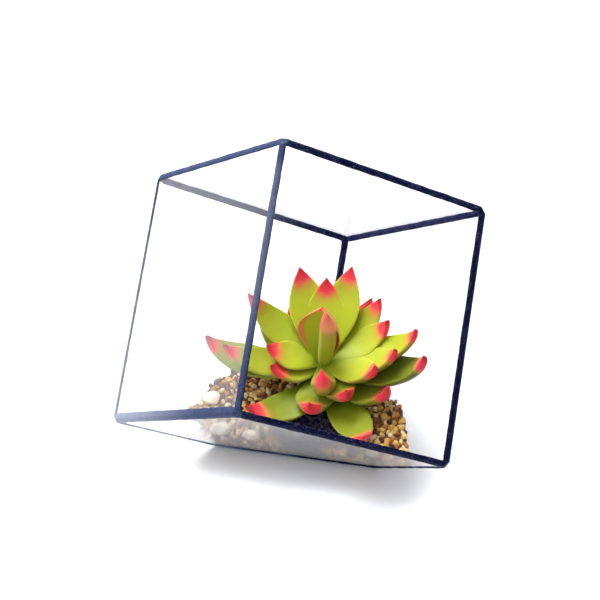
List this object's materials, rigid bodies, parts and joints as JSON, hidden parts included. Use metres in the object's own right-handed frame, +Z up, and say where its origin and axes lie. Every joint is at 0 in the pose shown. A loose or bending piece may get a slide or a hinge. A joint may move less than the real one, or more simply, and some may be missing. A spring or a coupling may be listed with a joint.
{
  "type": "glass plant terrarium",
  "caption": "Small geometric glass terrarium soldered at its edges, standing on a cut-off corner with one face open, with gravel, pebbles and a rosette succulent.",
  "frame": {"origin": "on the surface that the terrarium stands on, under the middle of its bounding box", "axes": "+Z up, +Y to the back, +X to the right; the case's front edge faces -Y and its open face looks to the right front"},
  "size_m": [0.1568, 0.1842, 0.1629],
  "materials": {
    "solder": "dark blue-black patina on solder, satin, with a mottled sheen",
    "glass": "clear polished sheet glass",
    "gravel": "matt brown and ochre grit",
    "pebble": "smooth matt white",
    "leaf": "waxy yellow-green, red at the tips"
  },
  "bodies": {
    "root": {"seam_top_left": "solder", "seam_top_right": "solder", "seam_front": "solder", "seam_top_back_left": "solder", "seam_top_back_right": "solder", "seam_left": "solder", "seam_right": "solder", "seam_lower_left": "solder", "seam_lower_right": "solder", "seam_back": "solder", "seam_under_left": "solder", "seam_under_right": "solder", "seam_foot_front": "solder", "seam_foot_right": "solder", "seam_foot_left": "solder", "pane_top": "glass", "pane_front_left": "glass", "pane_lower": "glass", "pane_back_left": "glass", "pane_back_right": "glass", "pane_foot": "glass", "pebble_1": "pebble", "pebble_2": "pebble", "pebble_3": "pebble", "pebble_4": "pebble", "pebble_5": "pebble", "pebble_6": "pebble", "gravel_bed": "gravel", "succulent_rosette": "leaf"}
  },
  "joints": []
}
